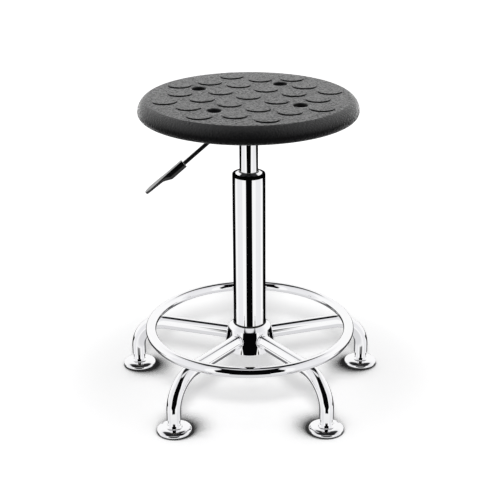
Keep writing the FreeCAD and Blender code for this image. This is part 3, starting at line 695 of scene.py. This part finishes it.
def bead(shape, points, radius, ripples):
    """A closed, rippled bead through points, added to a bmesh."""
    centre = sum(points, Vector()) / len(points)
    turns = [2 * math.pi * side / bead_sides for side in range(bead_sides)]
    rings = []
    for number, point in enumerate(points):
        along = (points[(number + 1) % len(points)] - points[number - 1]).normalized()
        outward = point - centre
        outward = (outward - along * outward.dot(along)).normalized()
        sideways = along.cross(outward)
        size = radius * (1 + bead_ripple * math.sin(2 * math.pi * ripples * number / len(points)))
        spokes = [outward * math.cos(turn) + sideways * math.sin(turn) for turn in turns]
        rings.append([shape.verts.new(point + spoke * size) for spoke in spokes])
    for number in range(len(rings)):
        near, far = rings[number - 1], rings[number]
        for side in range(bead_sides):
            shape.faces.new([near[side - 1], near[side], far[side], far[side - 1]])


# %% Where spoke and hub meet
bead_steps = 96
rounds = [2 * math.pi * step / bead_steps for step in range(bead_steps)]
wall_slope = (hub_foot_radius - hub_top_radius) / (shoulder_corner[1] - foot_corner[1])
spoke_loop = []
for angle in rounds:
    across_spoke = leg_radius * math.sin(angle)
    height = spoke_height + leg_radius * math.cos(angle)
    hub_radius = hub_top_radius + wall_slope * (shoulder_corner[1] - height)
    spoke_loop.append(Vector((math.sqrt(hub_radius ** 2 - across_spoke ** 2), across_spoke, height)))
print("hub wall slope:", round(wall_slope, 3))

# %% Where ring and leg meet
# The joint is a saddle under the ring, tilted with the bend of the leg.
saddle = Vector((5.0, 7.5)) * MM
bend_reach = ring_radius - (foot_circle - bend_radius)
tilt = math.asin(bend_reach / bend_radius)
ring_loop = []
for angle in rounds:
    along_leg = saddle.x * math.cos(angle)
    below = math.sqrt(ring_tube ** 2 - along_leg ** 2)
    ring_loop.append(Vector((ring_radius + along_leg * math.cos(tilt) - below * math.sin(tilt),
                             saddle.y * math.sin(angle),
                             ring_height - along_leg * math.sin(tilt) - below * math.cos(tilt))))
print("saddle tilt in degrees:", round(math.degrees(tilt), 1))

# %% Weld beads
spoke_bead, spoke_ripples = 1.4 * MM, 22
ring_bead, ring_ripples = 1.3 * MM, 14
shape = bmesh.new()
for number in range(leg_count):
    facing = Matrix.Rotation(math.radians(first_leg + leg_turn * number), 3, "Z")
    bead(shape, [facing @ point for point in spoke_loop], spoke_bead, spoke_ripples)
    bead(shape, [facing @ point for point in ring_loop], ring_bead, ring_ripples)
welds = as_piece("weld_beads", shape, chrome)
chrome_piece(welds, "base")

# %% [markdown]
# ## Feet
# Each foot is one turned piece: a disc with a low dome, a hollow flare up to the neck, and the stud above it
# that screws into the leg. All five share one half section. They stay five pieces, because each foot moves on
# a joint of its own.

# %% Half section of a foot
foot_low, foot_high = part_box("foot_disc_1")
disc_radius = (foot_high.x - foot_low.x) / 2
disc_rim = 3.0 * MM
disc_dome = 3.2 * MM
disc_lower_edge = 0.8 * MM
disc_upper_edge = 1.2 * MM
neck_radius = 9.5 * MM
neck_flare = 5.0 * MM
stud_radius = 5.0 * MM
stud_length = 26.0 * MM
neck_top = foot_high.z - stud_length
rim_top = foot_low.z + disc_rim
flare_foot = rim_top + disc_dome
flare_radius = neck_radius + neck_flare
dome_steps = 12
dome = []
for share in [step / dome_steps for step in range(dome_steps + 1)]:
    dome.append((disc_radius + (flare_radius - disc_radius) * share,
                 rim_top + disc_dome * (1 - (1 - share) ** 2)))
foot_section = [(0, foot_low.z)]
foot_section += eased((0, foot_low.z), (disc_radius, foot_low.z), (disc_radius, rim_top), disc_lower_edge)
foot_section += eased((disc_radius, foot_low.z), (disc_radius, rim_top), dome[2], disc_upper_edge)
foot_section += dome[3:]
foot_section += arc_points(flare_radius, flare_foot + neck_flare, neck_flare, 270, 180, 8)[1:]
foot_section += [(neck_radius, neck_top), (stud_radius, neck_top)]
foot_section += [(stud_radius, foot_high.z), (0, foot_high.z)]
print("foot section points:", len(foot_section))

# %% Feet
for number in range(1, leg_count + 1):
    low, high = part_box(f"foot_disc_{number}")
    middle = ((low.x + high.x) / 2, (low.y + high.y) / 2)
    foot = as_piece(f"foot_{number}", spun(foot_section, 96, middle), chrome)
    chrome_piece(foot, f"foot_{number}", f"foot_disc_{number}")

# %% [markdown]
# ## The seat
# A tough foam skin, moulded over a board: a rounded rim, a soft crease, a flat top with raised discs
# and four wells for the bolts. A sewn cushion would ask for a cloth simulation. This one is firm and has no
# seams: it comes out of a round mould, so its half section is drawn once and spun.

# %% Sizes of the seat
pad_low, pad_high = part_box("seat_pad")
board_low, board_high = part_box("seat_board")
disc_rise = 2.2 * MM
board_gap = 0.05 * MM
rim_under = 8 * MM
crease_inset = 11.7 * MM
crease_radius = 5 * MM
pad_radius = (pad_high.x - pad_low.x) / 2
pad_bottom = pad_low.z
pad_top = pad_high.z - disc_rise
recess_radius = (board_high.x - board_low.x) / 2 + board_gap
recess_top = board_high.z + board_gap
print("rim radius in mm:", round(pad_radius / MM, 1))

# %% Half section of the seat
# The rim bulges in one large arc, from its widest place up to the small arc of the crease.
rise = pad_top - pad_bottom - rim_under
bulge = (crease_inset ** 2 + rise ** 2) / (2 * crease_inset)
widest = pad_bottom + rim_under
bulge_x = pad_radius - bulge
blend_x = bulge_x + math.sqrt((bulge - crease_radius) ** 2 - (rise - crease_radius) ** 2)
blend_z = pad_top - crease_radius
blend_angle = math.degrees(math.atan2(blend_z - widest, blend_x - bulge_x))
top_rings = 8
section = [(0, recess_top), (recess_radius / 2, recess_top)]
section += [(recess_radius, recess_top), (recess_radius, pad_bottom)]
section += arc_points(pad_radius - rim_under, widest, rim_under, -90, 0, 12)
section += arc_points(bulge_x, widest, bulge, 0, blend_angle, 14)[1:]
section += arc_points(blend_x, blend_z, crease_radius, blend_angle, 90, 8)[1:]
section += [(blend_x * share / top_rings, pad_top) for share in range(top_rings - 1, -1, -1)]
seat = as_piece("seat_foam", spun(section, 192), foam)
print("seat section points:", len(section))

# %% [markdown]
# ## Wells
# The four wells are sunk where the bolts sit, each with a softly rounded mouth. Holes could be cut with plain
# cylinders and bevelled, but spun plugs that are taken away from the seat leave the mouth's own curve.
# The seat is turned with its lever, so the lever's axis says where the bolts are.

# %% Plug for a well
lever = next(joint for joint in frame["joints"] if joint["name"] == "lever_pull")
seat_turn = math.atan2(-lever["axis"][0], lever["axis"][1])
bolt_half_spacing = 62.5 * MM
bolt_reach = bolt_half_spacing * math.sqrt(2)
well_radius = 11 * MM
well_mouth = 1.6 * MM
plug_foot = recess_top - 2 * MM
plug_top = pad_top + 3 * MM
mouth = arc_points(0, pad_top - well_mouth, well_mouth, 0, 90, 6)
plug_section = [(0, plug_foot), (well_radius, plug_foot)]
plug_section += [(well_radius + well_mouth - inset, height) for inset, height in mouth]
plug_section += [(well_radius + well_mouth, plug_top), (0, plug_top)]
print("seat turned by degrees:", round(math.degrees(seat_turn), 1))

# %% Wells for the bolts
well_count = 4
for number in range(well_count):
    angle = seat_turn + math.radians(45 + 90 * number)
    middle = (bolt_reach * math.cos(angle), bolt_reach * math.sin(angle))
    plug = as_piece("plug", spun(plug_section, 48, middle), foam)
    cut = seat.modifiers.new("well", "BOOLEAN")
    cut.object = plug
    baked(seat)
    bpy.data.objects.remove(plug)
seat.data.set_sharp_from_angle(angle=sharp_angle)
print("seat faces with wells:", len(seat.data.polygons))

# %% [markdown]
# ## Raised discs
# Low round pads give grip, and they repeat by a rule: one in the middle, a lattice of eight round it and two
# rings of eight. They could be copied by hand, but with Geometry Nodes a change of a ring's radius moves its
# discs together. Half of each disc is sunk in the seat.

# %% Sizes of the discs
lattice = 48.5 * MM
disc_sizes = {"Disc radius": 19.0 * MM, "Disc depth": 2 * disc_rise, "Lattice": lattice,
              "Lattice corner": lattice * math.sqrt(2), "Inner ring": 102.3 * MM, "Outer ring": 123.5 * MM,
              "Turn": seat_turn, "Top": pad_top}
disc_tree, given, disc_sockets = sized_tree("raised_discs", disc_sizes)
print("disc sizes:", list(disc_sizes))

# %% Places of the discs
places = add(disc_tree, "GeometryNodeJoinGeometry")
middle = add(disc_tree, "GeometryNodePoints", {}, {"Count": 1})
disc_tree.links.new(middle.outputs[0], places.inputs[0])
rules = ((4, "Lattice", 45.0), (4, "Lattice corner", 0.0), (8, "Inner ring", 22.5), (8, "Outer ring", 0.0))
for count, size, first in rules:
    ring = add(disc_tree, "GeometryNodeMeshCircle", {}, {"Vertices": count, "Radius": given[size]})
    turned = add(disc_tree, "GeometryNodeTransform", {},
                 {"Geometry": ring.outputs[0], "Rotation": (0, 0, math.radians(first))})
    points = add(disc_tree, "GeometryNodeMeshToPoints", {}, {"Mesh": turned.outputs[0]})
    disc_tree.links.new(points.outputs[0], places.inputs[0])
print("discs:", 1 + sum(count for count, size, first in rules))

# %% Discs on their places
disc = add(disc_tree, "GeometryNodeMeshCylinder", {},
           {"Vertices": 72, "Radius": given["Disc radius"], "Depth": given["Disc depth"],
            "Fill Segments": 4})
stamped = add(disc_tree, "GeometryNodeInstanceOnPoints", {},
              {"Points": places.outputs[0], "Instance": disc.outputs[0]})
turn = add(disc_tree, "ShaderNodeCombineXYZ", {}, {"Z": given["Turn"]})
shift = add(disc_tree, "ShaderNodeCombineXYZ", {}, {"Z": given["Top"]})
put = add(disc_tree, "GeometryNodeTransform", {},
          {"Geometry": stamped.outputs[0], "Rotation": turn.outputs[0], "Translation": shift.outputs[0]})
real = add(disc_tree, "GeometryNodeRealizeInstances", {}, {0: put.outputs[0]})
moulded = add(disc_tree, "GeometryNodeSetMaterial", {}, {"Geometry": real.outputs[0], "Material": foam})
add(disc_tree, "NodeGroupOutput", {}, {0: moulded.outputs[0]})
print("nodes for the discs:", len(disc_tree.nodes))

# %% Raised discs on the seat
disc_edge = 0.3 * MM
discs = grown("seat_discs", disc_tree, disc_sizes, disc_sockets)
soften = discs.modifiers.new("soft_edge", "BEVEL")
soften.width = disc_edge
soften.segments = 3
level_tops = discs.modifiers.new("level_tops", "WEIGHTED_NORMAL")
level_tops.keep_sharp = True
baked(discs)
for piece in (seat, discs):
    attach(piece, "seat")
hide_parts("seat_pad")
print("disc faces:", len(discs.data.polygons))

# %% [markdown]
# ## Clean mirrors
# The photograph's column and hub show neither the seat nor the ring, the legs or the lever: such chrome is
# kept clean by hand. So these pieces are left out of what other pieces mirror. The gas cylinder and what it
# holds are left out too, and the front of the column's dome mirrors the dark patch overhead instead.

# %% Clean mirrors
under_seat = ("seat_board", "seat_plate", "seat_bolts", "seat_washers", "seat_nuts", "taper_socket",
              "lever_bracket", "lever_pin", "lever_rod", "lever_handle")
in_cylinder = ("cylinder_gland", "piston_rod", "piston", "piston_seal", "piston_nut", "valve_body",
               "valve_pin")
unmirrored = [gas_tube, foot_ring, legs, welds, seat, discs]
unmirrored += [nodes[name] for name in under_seat + in_cylinder]
for piece in unmirrored:
    piece.visible_glossy = False
print("left out of mirrors:", len(unmirrored))
